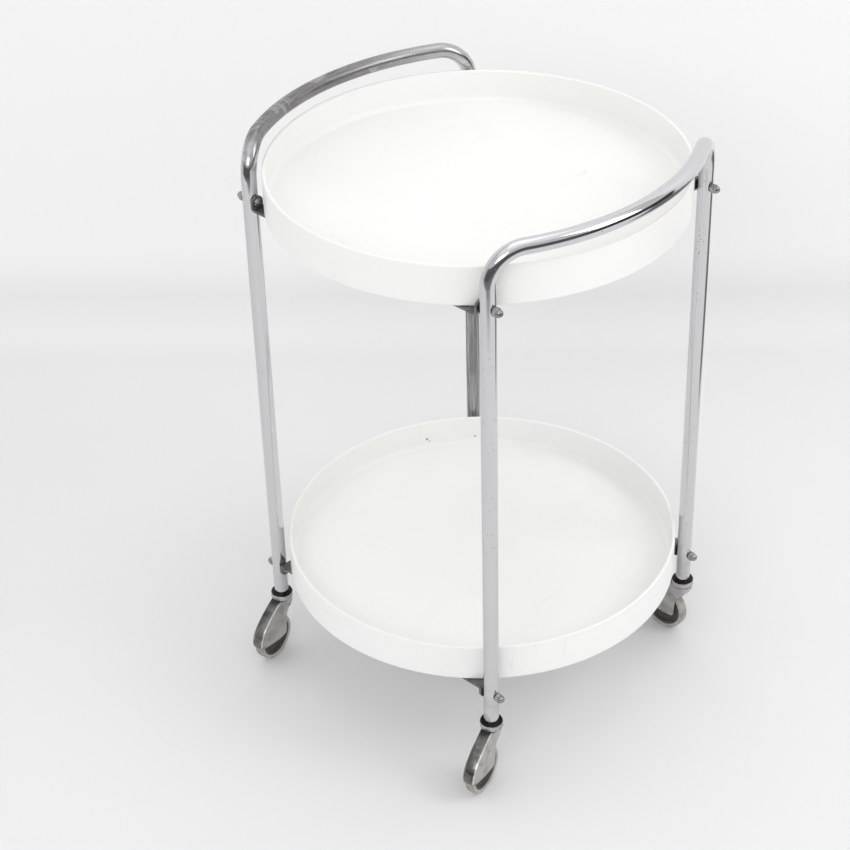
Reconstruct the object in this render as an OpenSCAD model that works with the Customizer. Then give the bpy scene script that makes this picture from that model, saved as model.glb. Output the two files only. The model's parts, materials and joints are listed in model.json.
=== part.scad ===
// Round two-tier serving trolley: two bent tube frames, two moulded trays,
// four flat crossbars and four swivelling stem castors with cast hoods.
// +Z is up, and the origin is on the floor below the centre of the trays.
// X runs along the handles, from left to right. Y runs from the front handle to the rear one.

/* [Tube frames] */
// Outer diameter of the frame tube
tube_d = 18; // [16:0.5:20]
// Wall thickness of the frame tube
tube_wall = 1.5; // [1:0.25:2]
// Distance of each leg from the centre, along X and along Y
leg_offset = 180; // [179:0.5:184]
// Height of the lower end of the legs above the floor
leg_bottom_z = 88; // [86:1:92]
// Height of the handle centre line above the upper tray rim
handle_rise = 24; // [16:1:60]
// Distance of the handle's furthest point from the centre plane, on the centre line
handle_reach = 236; // [225:1:250]
// Bend radius where a leg turns into the handle, on the centre line
bend_r = 40; // [30:1:50]

/* [Trays] */
// Outer radius of a tray
tray_r = 239.5; // [236:0.5:240]
// Overall height of a tray
tray_h = 47; // [40:1:55]
// Wall thickness of a tray
tray_wall = 4; // [3:0.5:5]
// Depth from the rim to the floor of a tray
tray_depth = 38; // [30:1:40]
// Thickness of the tray floor
tray_floor = 3.5; // [2.5:0.5:4]
// Radius between the tray wall and its floor
tray_fillet = 10; // [6:1:14]
// Height of the lower tray rim above the floor
lower_rim_z = 183; // [180:1:190]
// Distance between the two tray rims
tray_pitch = 502; // [420:2:560]

/* [Crossbars] */
// Width of a flat crossbar
bar_w = 16; // [14:1:16]
// Thickness of a flat crossbar
bar_t = 3; // [2:0.5:3]
// Height of the upper bolts above the upper tray's underside
upper_bolt_dz = 6; // [6:0.5:9]
// Depth of the lower bolts below the lower tray's underside
lower_bolt_dz = 9; // [9:0.5:10]
// Distance of the tray screws from the centre along a crossbar
screw_y = 110; // [60:5:120]

/* [Castors] */
// Radius of the wheel over its tyre
wheel_r = 30; // [29:0.5:30]
// Width of the wheel
wheel_w = 15; // [14:0.5:16]
// Distance of the axle behind the swivel axis
trail = 24; // [22:0.5:26]
// Direction of the front left castor's trail, from +X towards +Y
castor_angle_front_left = 193; // [0:1:359]
// Direction of the front right castor's trail
castor_angle_front_right = 92; // [0:1:359]
// Direction of the rear left castor's trail
castor_angle_rear_left = 190; // [0:1:359]
// Direction of the rear right castor's trail
castor_angle_rear_right = 212; // [0:1:359]

/* [Hidden] */
$fn = 96;

tube_r = tube_d / 2;
bore_r = tube_r - tube_wall;
upper_rim_z = lower_rim_z + tray_pitch;
upper_base_z = upper_rim_z - tray_h;
lower_base_z = lower_rim_z - tray_h;
upper_bolt_z = upper_base_z + upper_bolt_dz;
lower_bolt_z = lower_base_z - lower_bolt_dz;
tab_y = leg_offset - tube_r;          // outer face of a crossbar's end tab
nut_y = leg_offset + tube_r;          // seat of a cap nut on the tube
bolt_r = 3;
screw_r = 2;
cut = 1;                              // how far a cutter runs past a face

chrome = [0.78, 0.79, 0.8];
nickel = [0.62, 0.62, 0.61];
zinc = [0.45, 0.45, 0.46];
white = [0.93, 0.93, 0.91];
black = [0.05, 0.05, 0.05];
core_grey = [0.22, 0.21, 0.21];
tyre_grey = [0.68, 0.66, 0.62];

// ---- placing -----------------------------------------------------------

// Repeats a part on the +Y side and, mirrored, on the -Y side
module both_ends() {
  for (flip = [0, 1]) mirror([0, flip, 0]) children();
}

// Repeats a part at the four legs, facing outwards along Y
module at_bolts(z) {
  for (side = [-1, 1]) both_ends() translate([side * leg_offset, 0, z]) children();
}

module at_screws(z) {
  for (side = [-1, 1], end = [-1, 1])
    translate([side * leg_offset, end * screw_y, z]) children();
}

// ---- tube frames -------------------------------------------------------

handle_z = upper_rim_z + handle_rise;
bend_z = handle_z - bend_r;           // where a leg starts to bend
bend_loss = 0.1;                      // the wall thins slightly where the tube is bent
leg_lap = 0.25;                       // overlap of a leg and its elbow
arc_lap = 0.05;                       // overlap of the handle's arc and an elbow, in degrees
leg_hole_gap = 0.05;

// Angle between the handle's chord and its direction at each leg
turn = 2 * atan((handle_reach - leg_offset) / (leg_offset + bend_r));
arc_r = (leg_offset - bend_r * cos(turn)) / sin(turn);
arc_y = handle_reach - arc_r;         // centre of the handle's arc

module tube_section(thinning = 0) {
  difference() {
    circle(r = tube_r - thinning);
    circle(r = bore_r + thinning);
  }
}

module leg(x) {
  difference() {
    translate([x, leg_offset, leg_bottom_z])
      linear_extrude(height = bend_z - leg_bottom_z + leg_lap) tube_section();
    for (z = [lower_bolt_z, upper_bolt_z])
      translate([x, leg_offset - tube_r - 2 * cut, z]) rotate([-90, 0, 0])
        cylinder(r = bolt_r + leg_hole_gap, h = tube_d + 4 * cut);
  }
}

// Quarter bend from a leg at [x, leg_offset] to a heading measured from +X
module elbow(x, heading) {
  translate([x + bend_r * cos(heading), leg_offset + bend_r * sin(heading), bend_z])
    rotate([0, 0, heading + 180]) rotate([90, 0, 0])
      rotate_extrude(angle = 90) translate([bend_r, 0]) tube_section(bend_loss);
}

module handle_arc() {
  translate([0, arc_y, handle_z]) rotate([0, 0, 90 - turn - arc_lap])
    rotate_extrude(angle = 2 * (turn + arc_lap)) translate([arc_r, 0]) tube_section();
}

module handle_frame() {
  leg(-leg_offset);
  leg(leg_offset);
  elbow(-leg_offset, turn);
  elbow(leg_offset, 180 - turn);
  handle_arc();
}

module rear_handle_frame() {
  color(chrome) union() handle_frame();
}

module front_handle_frame() {
  color(chrome) mirror([0, 1, 0]) union() handle_frame();
}

// ---- trays -------------------------------------------------------------

tray_floor_z = tray_h - tray_depth;   // top of the floor above a tray's underside
tray_edge_r = 2.5;                    // rounding of the wall's lower outer edge
tray_lap = 0.5;                       // overlap of the parts of a tray
boss_r = 6.5;
boss_h = tray_floor_z - tray_floor;
screw_hole_depth = 6;

// Half section of a tray: radius, height
module tray_section() {
  inner_r = tray_r - tray_wall;
  rim_r = tray_wall / 2;
  difference() {
    union() {
      translate([inner_r, 0]) square([tray_wall, tray_h - rim_r]);
      translate([inner_r + rim_r, tray_h - rim_r]) circle(r = rim_r);
      translate([0, boss_h]) square([inner_r + tray_lap, tray_floor]);
      // Fillet between the floor and the wall
      difference() {
        translate([inner_r - tray_fillet, tray_floor_z - tray_lap])
          square([tray_fillet + tray_lap, tray_fillet + tray_lap]);
        translate([inner_r - tray_fillet, tray_floor_z + tray_fillet]) circle(r = tray_fillet);
      }
    }
    difference() {
      translate([tray_r - tray_edge_r, -cut]) square([tray_edge_r + cut, tray_edge_r + cut]);
      translate([tray_r - tray_edge_r, tray_edge_r]) circle(r = tray_edge_r);
    }
  }
}

// Tray with its underside at height z, and a boss below the floor for each screw
module tray(z) {
  color(white) translate([0, 0, z]) difference() {
    union() {
      rotate_extrude($fn = 180) tray_section();
      at_screws(0) cylinder(r = boss_r, h = boss_h + tray_lap);
    }
    at_screws(-cut) cylinder(r = screw_r, h = screw_hole_depth + cut);
  }
}

// ---- crossbars ---------------------------------------------------------

bar_bend_inner_r = 1;
bar_bend_outer_r = bar_t + bar_bend_inner_r;
bar_flat_end = tab_y - bar_bend_outer_r;
bar_hole_gap = 0.15;

// Quarter-round bend joining the flat strip to its upturned end
module bar_bend() {
  translate([-bar_w / 2, bar_flat_end, bar_bend_inner_r]) intersection() {
    rotate([0, 90, 0]) difference() {
      cylinder(r = bar_bend_outer_r, h = bar_w);
      translate([0, 0, -cut]) cylinder(r = bar_bend_inner_r, h = bar_w + 2 * cut);
    }
    translate([0, 0, -bar_bend_outer_r]) cube([bar_w, bar_bend_outer_r, bar_bend_outer_r]);
  }
}

// Flat bar along Y, underside at z = -bar_t, with its ends turned up
// by 90 degrees and a bolt hole in each at height hole_z
module bar(hole_z) {
  difference() {
    union() {
      translate([-bar_w / 2, -bar_flat_end, -bar_t]) cube([bar_w, 2 * bar_flat_end, bar_t]);
      both_ends() {
        bar_bend();
        translate([-bar_w / 2, tab_y - bar_t, bar_bend_inner_r])
          cube([bar_w, bar_t, hole_z - bar_bend_inner_r]);
        translate([0, tab_y - bar_t, hole_z]) rotate([-90, 0, 0])
          cylinder(r = bar_w / 2, h = bar_t);
      }
    }
    both_ends() translate([0, tab_y - bar_t - cut, hole_z]) rotate([-90, 0, 0])
      cylinder(r = bolt_r + bar_hole_gap, h = bar_t + 2 * cut);
    for (end = [-1, 1])
      translate([0, end * screw_y, -bar_t - cut])
        cylinder(r = screw_r + bar_hole_gap, h = bar_t + 2 * cut);
  }
}

module upper_crossbar(x) {
  color(zinc) translate([x, 0, upper_base_z]) bar(upper_bolt_dz);
}

// The lower bars are the same strip with its ends turned down
module lower_crossbar(x) {
  color(zinc) translate([x, 0, lower_base_z - bar_t]) mirror([0, 0, 1])
    bar(lower_bolt_dz - bar_t);
}

// ---- fasteners ---------------------------------------------------------

bolt_past_seat = 7.5;                 // bolt length beyond the cap nut's seat
nut_bore_depth = 8.2;
nut_bore_gap = 0.02;
screw_reach = 5;                      // screw length above the crossbar
screw_gap = 0.02;

// Head below z = 0, rounded by a sphere centred at dome_z
module domed_head(radius, height, dome_r, dome_z) {
  intersection() {
    translate([0, 0, -height]) cylinder(r = radius, h = height);
    translate([0, 0, dome_z]) sphere(r = dome_r);
  }
}

// Slot cutter along X that starts beyond the head's top
module slot(length, width, start_z) {
  translate([-length / 2, -width / 2, start_z]) cube([length, width, 1.9]);
}

// Slotted mushroom-head bolt, head against the crossbar's tab, pointing +Y
module bolt() {
  seat_y = tab_y - bar_t;
  head_h = 2.6;
  dome_r = 6.2;
  translate([0, seat_y, 0]) rotate([-90, 0, 0]) difference() {
    union() {
      cylinder(r = bolt_r, h = nut_y - seat_y + bolt_past_seat);
      domed_head(radius = 5, height = head_h, dome_r = dome_r, dome_z = dome_r - head_h);
    }
    slot(length = 12, width = 1.2, start_z = -3.4);
  }
}

module bolts(z) {
  color(nickel) at_bolts(z) bolt();
}

// Hexagonal cap nut, seat on the tube at nut_y, dome pointing +Y
module cap_nut() {
  hex_h = 5;
  seat_inset = 0.6;
  dome_r = 4.5;
  dome_z = 6.2;
  translate([0, nut_y, 0]) rotate([-90, 0, 0]) difference() {
    union() {
      // The two cones bevel the hexagon's corners
      intersection() {
        cylinder(r = 5.77, h = hex_h, $fn = 6);
        cylinder(r1 = 7.4, r2 = 5.1, h = hex_h);
        translate([0, 0, -seat_inset]) cylinder(r1 = 5.0, r2 = 10.6, h = hex_h + seat_inset);
      }
      translate([0, 0, hex_h - 0.1]) cylinder(r = dome_r, h = 1.9);
      intersection() {
        translate([0, 0, dome_z]) sphere(r = dome_r);
        translate([0, 0, dome_z]) cylinder(r = 5, h = 6);
      }
    }
    translate([0, 0, -cut]) cylinder(r = bolt_r + nut_bore_gap, h = nut_bore_depth + cut);
  }
}

module cap_nuts(z) {
  color(nickel) at_bolts(z) cap_nut();
}

// Cross-slotted screw from below a crossbar into the tray
module tray_screw() {
  translate([0, 0, -bar_t]) difference() {
    union() {
      cylinder(r = screw_r - screw_gap, h = bar_t + screw_reach);
      domed_head(radius = 4, height = 2.4, dome_r = 5.6, dome_z = 3.1);
    }
    for (angle = [0, 90])
      rotate([0, 0, angle]) slot(length = 4.8, width = 0.9, start_z = -3);
  }
}

module tray_screws(z) {
  color(zinc) at_screws(z) tray_screw();
}

// ---- castors -----------------------------------------------------------

// Each castor's side along X, side along Y and trail direction
front_left = [-1, -1, castor_angle_front_left];
front_right = [1, -1, castor_angle_front_right];
rear_left = [-1, 1, castor_angle_rear_left];
rear_right = [1, 1, castor_angle_rear_right];

flange_r = 13.5;
flange_h = 5;
flange_z = leg_bottom_z - flange_h;   // underside of a socket's flange
bevel = 0.8;                          // height of the flange's and collar's bevels
plug_h = 30;
plug_lap = 0.1;
stem_r = 5;
collar_r = 13.75;
collar_z = flange_z - 7;              // underside of the hood's collar
collar_gap = 0.1;                     // between the collar and the flange
stem_z = collar_z - 5;                // lower end of the stem
stem_h = 42;                          // without its tapered tip
groove_z = stem_z + 34;
groove_h = 3.2;
ring_play = 0.2;                      // above and below the ring in its groove
axle_r = 3;
hood_r = wheel_r + 5;
hood_half = 11;                       // half the hood's width
hood_cut_half = 20;                   // half length of the cutters across the hood
tyre_t = 5;
core_r = wheel_r - tyre_t;
wheel_half = wheel_w / 2;
key_r = 1.6;                          // ridge inside the tyre, in the core's groove
well_r = wheel_r - 4.5;               // flat-sided part of the space for the wheel
well_half = wheel_half + 0.7;

module at_leg(corner) {
  translate([corner[0] * leg_offset, corner[1] * leg_offset, 0]) children();
}

// Places a castor part made at the origin, trail along +X, under a leg
module at_castor(corner) {
  at_leg(corner) rotate([0, 0, corner[2]]) children();
}

// Turns a part made round Z so that it lies round the axle
module about_axle() {
  translate([trail, 0, wheel_r]) rotate([90, 0, 0]) children();
}

// Moulded insert in the leg's end, with a flange between the leg and the hood
module socket() {
  color(black) difference() {
    union() {
      translate([0, 0, flange_z + bevel]) cylinder(r = flange_r, h = flange_h - 2 * bevel);
      translate([0, 0, flange_z]) cylinder(r1 = 12.9, r2 = flange_r, h = bevel);
      translate([0, 0, leg_bottom_z - bevel]) cylinder(r1 = flange_r, r2 = 12.7, h = bevel);
      translate([0, 0, leg_bottom_z - plug_lap]) cylinder(r = bore_r - 0.03, h = plug_h + plug_lap);
    }
    translate([0, 0, flange_z - cut]) cylinder(r = stem_r + 0.05, h = flange_h + plug_h + 3 * cut);
  }
}

// Steel stem pressed into the hood, grooved for its grip ring
module stem() {
  color(nickel) difference() {
    union() {
      translate([0, 0, stem_z]) cylinder(r = stem_r, h = stem_h);
      translate([0, 0, stem_z + stem_h]) cylinder(r1 = stem_r, r2 = stem_r - 1.4, h = 1.6);
    }
    translate([0, 0, groove_z]) difference() {
      cylinder(r = stem_r + cut, h = groove_h);
      translate([0, 0, -cut]) cylinder(r = stem_r - 0.9, h = 6);
    }
  }
}

// Split spring ring in the stem's groove
module grip_ring() {
  split = 1.6;
  color(zinc) translate([0, 0, groove_z + ring_play]) difference() {
    cylinder(r = stem_r + 0.03, h = groove_h - 2 * ring_play);
    translate([0, 0, -cut]) cylinder(r = stem_r - 0.85, h = 5);
    translate([0, -split / 2, -cut]) cube([10, split, 5]);
  }
}

// Hood's outside round the axle: radius, half width
hood_outer = [[0, hood_half], [hood_r - 10, hood_half], [hood_r - 6, hood_half - 1.2],
  [hood_r - 2.5, hood_half - 3], [hood_r, hood_half - 5.5]];

// Space for the wheel round the axle: radius, half width
hood_inner = [[0, well_half], [well_r, well_half], [wheel_r - 1, wheel_half - 0.4],
  [wheel_r + 1.3, wheel_half - 2.2], [wheel_r + 2.3, wheel_half - 3.8]];

// Side outline of the part of the hood that is kept: X, Z
hood_side = [[-14, collar_z + 2], [-14, collar_z - 2], [-9, collar_z - 7], [-2, collar_z - 14],
  [trail - 19, wheel_r + 20], [trail - 14, wheel_r + 9], [trail - 8.5, wheel_r],
  [trail - 4, wheel_r - 4.6], [trail + 2, wheel_r - 6.6], [trail + 12, wheel_r - 6],
  [trail + 24, wheel_r - 2], [trail + 34, wheel_r + 3], [trail + 42, wheel_r + 3],
  [trail + 42, collar_z + 2]];

// Closes a half outline with its mirror image
function both_sides(points) =
  concat(points, [for (i = [len(points) - 1:-1:0]) [points[i][0], -points[i][1]]]);

// Teardrop casting: a collar at the top, and a shell over the back of the wheel
module hood() {
  color(nickel) difference() {
    union() {
      translate([0, 0, collar_z])
        cylinder(r = collar_r, h = flange_z - collar_gap - collar_z - bevel);
      translate([0, 0, flange_z - collar_gap - bevel])
        cylinder(r1 = collar_r, r2 = 13.1, h = bevel);
      intersection() {
        hull() {
          translate([0, 0, collar_z - 0.5]) cylinder(r = 12.4, h = 1, $fn = 40);
          about_axle() rotate_extrude($fn = 60) polygon(both_sides(hood_outer));
        }
        // The wheel's front and lowest part stay uncovered
        translate([0, hood_cut_half, 0]) rotate([90, 0, 0])
          linear_extrude(height = 2 * hood_cut_half) polygon(hood_side);
      }
    }
    about_axle() rotate_extrude() polygon(both_sides(hood_inner));
    // Flat-sided disc within the space for the wheel
    about_axle() rotate_extrude()
      polygon([[0, -well_half], [well_r, -well_half], [well_r, well_half], [0, well_half]]);
    about_axle() translate([0, 0, -hood_cut_half])
      cylinder(r = axle_r + 0.02, h = 2 * hood_cut_half);
    translate([0, 0, stem_z]) cylinder(r = stem_r, h = 20);
  }
}

// Axle through both cheeks, its ends just below their faces
module axle() {
  half_length = hood_half - 0.1;
  color(zinc) about_axle() translate([0, 0, -half_length])
    cylinder(r = axle_r, h = 2 * half_length);
}

// Rectangle in a wheel's half section, centred on the wheel's mid plane
module band(inner_r, thickness, half_width) {
  translate([inner_r, -half_width]) square([thickness, 2 * half_width]);
}

// Dished plastic wheel centre with a long hub
module wheel_core() {
  color(core_grey) about_axle() rotate_extrude() difference() {
    union() {
      band(axle_r + 0.05, 3.6, wheel_half + 0.4);       // hub
      band(axle_r + 3, core_r - axle_r - 4, 2);         // web
      band(core_r - 3, 3, wheel_half - 0.8);            // rim
      band(core_r - 11, 2, 3.4);                        // rib on the web
    }
    translate([core_r, 0]) circle(r = key_r);
  }
}

// Rounded tyre, keyed into a groove round the wheel centre
module tyre() {
  lap = 1.5;                          // how far the profile starts inside the core
  shoulder_r = 3.6;
  shoulder_y = wheel_half - shoulder_r;
  profile_t = tyre_t + lap;
  color(tyre_grey) about_axle() rotate_extrude() union() {
    intersection() {
      band(core_r, tyre_t, wheel_half);
      translate([core_r - lap, 0]) union() {
        square([2 * profile_t, 6], center = true);
        for (side = [-1, 1])
          translate([profile_t - shoulder_r, side * shoulder_y]) circle(r = shoulder_r);
        band(0, profile_t, shoulder_y);
        band(0, profile_t - shoulder_r, wheel_half);
      }
    }
    translate([core_r, 0]) circle(r = key_r);
  }
}

front_handle_frame();
rear_handle_frame();
tray(upper_base_z);  // upper_tray
tray(lower_base_z);  // lower_tray
upper_crossbar(-leg_offset);  // upper_crossbar_left
upper_crossbar(leg_offset);  // upper_crossbar_right
lower_crossbar(-leg_offset);  // lower_crossbar_left
lower_crossbar(leg_offset);  // lower_crossbar_right
bolts(upper_bolt_z);  // upper_bolts
bolts(lower_bolt_z);  // lower_bolts
cap_nuts(upper_bolt_z);  // upper_cap_nuts
cap_nuts(lower_bolt_z);  // lower_cap_nuts
tray_screws(upper_base_z);  // upper_tray_screws
tray_screws(lower_base_z);  // lower_tray_screws
at_leg(front_left) socket();  // castor_socket_front_left
at_leg(front_right) socket();  // castor_socket_front_right
at_leg(rear_left) socket();  // castor_socket_rear_left
at_leg(rear_right) socket();  // castor_socket_rear_right
at_castor(front_left) hood();  // castor_hood_front_left
at_castor(front_right) hood();  // castor_hood_front_right
at_castor(rear_left) hood();  // castor_hood_rear_left
at_castor(rear_right) hood();  // castor_hood_rear_right
at_castor(front_left) stem();  // castor_stem_front_left
at_castor(front_right) stem();  // castor_stem_front_right
at_castor(rear_left) stem();  // castor_stem_rear_left
at_castor(rear_right) stem();  // castor_stem_rear_right
at_castor(front_left) grip_ring();  // grip_ring_front_left
at_castor(front_right) grip_ring();  // grip_ring_front_right
at_castor(rear_left) grip_ring();  // grip_ring_rear_left
at_castor(rear_right) grip_ring();  // grip_ring_rear_right
at_castor(front_left) axle();  // axle_front_left
at_castor(front_right) axle();  // axle_front_right
at_castor(rear_left) axle();  // axle_rear_left
at_castor(rear_right) axle();  // axle_rear_right
at_castor(front_left) wheel_core();  // wheel_core_front_left
at_castor(front_right) wheel_core();  // wheel_core_front_right
at_castor(rear_left) wheel_core();  // wheel_core_rear_left
at_castor(rear_right) wheel_core();  // wheel_core_rear_right
at_castor(front_left) tyre();  // tyre_front_left
at_castor(front_right) tyre();  // tyre_front_right
at_castor(rear_left) tyre();  // tyre_rear_left
at_castor(rear_right) tyre();  // tyre_rear_right
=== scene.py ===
"""Round two-tray trolley: two bent tube frames, strip crossbars and four hooded castors.

Metres, +Z up, floor at z = 0. The rear handle is on +Y, the front one on -Y, left is -X.
Outlines are written in millimetres and scaled by MM when they become meshes.
Materials and the stage are in metres.
"""

import json
import math

import bmesh
import bpy
import numpy as np
from mathutils import Matrix, Vector


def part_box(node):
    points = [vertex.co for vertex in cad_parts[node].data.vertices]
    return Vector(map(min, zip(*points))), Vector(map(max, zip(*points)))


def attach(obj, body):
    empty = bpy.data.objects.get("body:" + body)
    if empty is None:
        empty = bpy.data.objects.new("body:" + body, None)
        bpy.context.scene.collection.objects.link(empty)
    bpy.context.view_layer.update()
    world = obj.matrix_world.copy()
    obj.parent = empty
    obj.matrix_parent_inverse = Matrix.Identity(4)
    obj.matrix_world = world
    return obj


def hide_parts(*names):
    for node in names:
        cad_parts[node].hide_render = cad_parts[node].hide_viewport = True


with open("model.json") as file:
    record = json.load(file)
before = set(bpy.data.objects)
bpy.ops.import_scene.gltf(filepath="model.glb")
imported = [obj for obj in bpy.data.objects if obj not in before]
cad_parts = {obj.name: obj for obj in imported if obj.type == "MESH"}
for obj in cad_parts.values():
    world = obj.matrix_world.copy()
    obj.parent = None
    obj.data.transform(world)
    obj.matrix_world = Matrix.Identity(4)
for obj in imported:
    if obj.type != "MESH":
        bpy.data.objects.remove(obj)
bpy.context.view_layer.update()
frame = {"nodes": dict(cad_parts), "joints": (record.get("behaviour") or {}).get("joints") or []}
MM = 0.001
UP = Vector((0, 0, 1))
CASTORS = ["front_left", "front_right", "rear_left", "rear_right"]
JOINTS = {j["name"]: j for j in frame["joints"]}
SWIVEL = JOINTS["swivel_front_left"]["pos_m"]
ROLL = JOINTS["roll_front_left"]["pos_m"]

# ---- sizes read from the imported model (mm) ----

LEG = abs(SWIVEL[0]) / MM  # each leg stands at x = +-LEG, y = +-LEG
low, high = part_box("rear_handle_frame")
TUBE_R = high.x / MM - LEG
LEG_Z = low.z / MM
HANDLE_Z = high.z / MM - TUBE_R
REACH = high.y / MM - TUBE_R  # centre line of the bow at its furthest
low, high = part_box("upper_tray")
TRAY_R = high.y / MM
TRAY_H = (high.z - low.z) / MM
UPPER_Z = low.z / MM
LOWER_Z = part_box("lower_tray")[0].z / MM
low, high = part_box("upper_bolts")
UPPER_BOLT = (low.z + high.z) / 2 / MM
low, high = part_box("lower_bolts")
LOWER_BOLT = (low.z + high.z) / 2 / MM
SCREW_R = 4.0
SCREW_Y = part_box("upper_tray_screws")[1].y / MM - SCREW_R
AXLE_Z = ROLL[2] / MM
TRAIL = (Vector(ROLL) - Vector(SWIVEL)).xy.length / MM

# ---- chosen sizes (mm) ----

TUBE_WALL = 1.5
BEND_R = 40.0
STRIP_T = 3.0
FLANGE_Z = LEG_Z - 5


# ---- mesh helpers: a part is (vertices in mm, faces) ----

def fillet(points, seg=5, closed=True):
    """Rounds the corners of a 2-D outline. Each point is (x, y) or (x, y, radius)."""
    out, n = [], len(points)
    for i, point in enumerate(points):
        r = point[2] if len(point) > 2 else 0.0
        if r <= 0 or (not closed and i in (0, n - 1)):
            out.append((point[0], point[1]))
            continue
        corner = Vector(point[:2])
        back = Vector(points[i - 1][:2]) - corner
        ahead = Vector(points[(i + 1) % n][:2]) - corner
        back_length, ahead_length = back.length, ahead.length
        back.normalize()
        ahead.normalize()
        half = math.acos(max(-1, min(1, back.dot(ahead)))) / 2
        # straight runs and folded corners stay as they are
        if half > math.radians(89.5) or half < 1e-3:
            out.append((corner.x, corner.y))
            continue
        trim = min(r / math.tan(half), back_length * 0.499, ahead_length * 0.499)
        r = trim * math.tan(half)
        centre = corner + (back + ahead).normalized() * (r / math.sin(half))
        start, end = corner + back * trim, corner + ahead * trim
        a0 = math.atan2(start.y - centre.y, start.x - centre.x)
        a1 = math.atan2(end.y - centre.y, end.x - centre.x)
        sweep = (a1 - a0 + math.pi) % (2 * math.pi) - math.pi
        for k in range(seg + 1):
            a = a0 + sweep * k / seg
            out.append((centre.x + r * math.cos(a), centre.y + r * math.sin(a)))
    return out


def circle(r, z, n):
    return [(r * math.cos(2 * math.pi * k / n), r * math.sin(2 * math.pi * k / n), z)
            for k in range(n)]


def bridge(a, b):
    """Quads between two rings of vertex numbers."""
    n = len(a)
    return [(a[k], a[(k + 1) % n], b[(k + 1) % n], b[k]) for k in range(n)]


def lathe(profile, n=96):
    """A closed (r, z) outline turned about Z."""
    verts, faces, rings = [], [], []
    for r, z in profile:
        ring = [(0.0, 0.0, z)] if r < 1e-6 else circle(r, z, n)
        rings.append(list(range(len(verts), len(verts) + len(ring))))
        verts += ring
    for a, b in zip(rings, rings[1:] + rings[:1]):
        if len(a) == 1 and len(b) == 1:
            continue
        if len(a) == 1:
            faces += [(a[0], b[(k + 1) % n], b[k]) for k in range(n)]
        elif len(b) == 1:
            faces += [(a[k], a[(k + 1) % n], b[0]) for k in range(n)]
        else:
            faces += bridge(a, b)
    return verts, faces


def block(x0, x1, y0, y1, z0, z1):
    verts = [(x, y, z) for x in (x0, x1) for y in (y0, y1) for z in (z0, z1)]
    return verts, [(0, 1, 3, 2), (4, 6, 7, 5), (0, 4, 5, 1), (2, 3, 7, 6), (0, 2, 6, 4),
                   (1, 5, 7, 3)]


def joined(*parts):
    verts, faces = [], []
    for part_verts, part_faces in parts:
        faces += [tuple(i + len(verts) for i in face) for face in part_faces]
        verts += [tuple(p) for p in part_verts]
    return verts, faces


def moved(part, matrix):
    return [tuple(matrix @ Vector(p)) for p in part[0]], part[1]


def as_part(me):
    return [tuple(v.co / MM) for v in me.vertices], [tuple(p.vertices) for p in me.polygons]


def raw_mesh(name, part):
    """A mesh in metres, as given."""
    me = bpy.data.meshes.new(name)
    me.from_pydata([(x * MM, y * MM, z * MM) for x, y, z in part[0]], [],
                   [list(face) for face in part[1]])
    me.update()
    return me


def smooth(me, sharp):
    """Smooth shading, split at edges over sharp degrees."""
    me.polygons.foreach_set("use_smooth", [True] * len(me.polygons))
    me.set_sharp_from_angle(angle=math.radians(sharp))


def mesh(name, part, sharp=32, uv=None):
    """A clean smooth mesh. uv is one (around, along) pair per vertex, for tubes."""
    me = raw_mesh(name, part)
    if uv is not None:
        layer = me.uv_layers.new(name="flow")
        for poly in me.polygons:
            us = [uv[v][0] for v in poly.vertices]
            wrap = max(us) - min(us) > 0.028  # the face crosses the seam
            for loop, v in zip(poly.loop_indices, poly.vertices):
                u = uv[v][0]
                layer.data[loop].uv = (u + (TUBE_ROUND if wrap and u < 0.02 else 0), uv[v][1])
    bm = bmesh.new()
    bm.from_mesh(me)
    bmesh.ops.remove_doubles(bm, verts=bm.verts, dist=2e-7)
    bmesh.ops.dissolve_degenerate(bm, edges=bm.edges, dist=1e-8)
    bmesh.ops.recalc_face_normals(bm, faces=bm.faces)
    bm.to_mesh(me)
    bm.free()
    smooth(me, sharp)
    return me


def link(name, me):
    o = bpy.data.objects.new(name, me)
    bpy.context.scene.collection.objects.link(o)
    return o


def evaluated(o):
    """The object's mesh with its modifiers applied."""
    bpy.context.view_layer.update()
    return bpy.data.meshes.new_from_object(
        o.evaluated_get(bpy.context.evaluated_depsgraph_get()))


def piece(name, me, mat, body, node, matrix=None, mods=()):
    """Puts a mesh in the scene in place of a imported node, riding on a body."""
    me.materials.clear()
    me.materials.append(mat)
    o = link(name, me)
    for kind, settings in mods:
        modifier = o.modifiers.new(kind.lower(), kind)
        for key, value in settings.items():
            setattr(modifier, key, value)
    if matrix is not None:
        o.matrix_world = matrix
    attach(o, body)
    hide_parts(node)


def cut(me, cutters, name):
    """me minus each cutter part, as a new mesh."""
    target = link("cut_a", me)
    temporary = [target]
    for i, cutter in enumerate(cutters):
        tool = link("cut_b%d" % i, mesh("cut_b%d" % i, cutter))
        temporary.append(tool)
        modifier = target.modifiers.new("b%d" % i, "BOOLEAN")
        modifier.operation, modifier.solver, modifier.object = "DIFFERENCE", "EXACT", tool
    out = evaluated(target)
    out.name = name
    for o in temporary:
        bpy.data.objects.remove(o)
    smooth(out, 30)
    return out


WEIGHTED = ("WEIGHTED_NORMAL", {"keep_sharp": True, "weight": 60})


# ---- shader graphs ----

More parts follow.
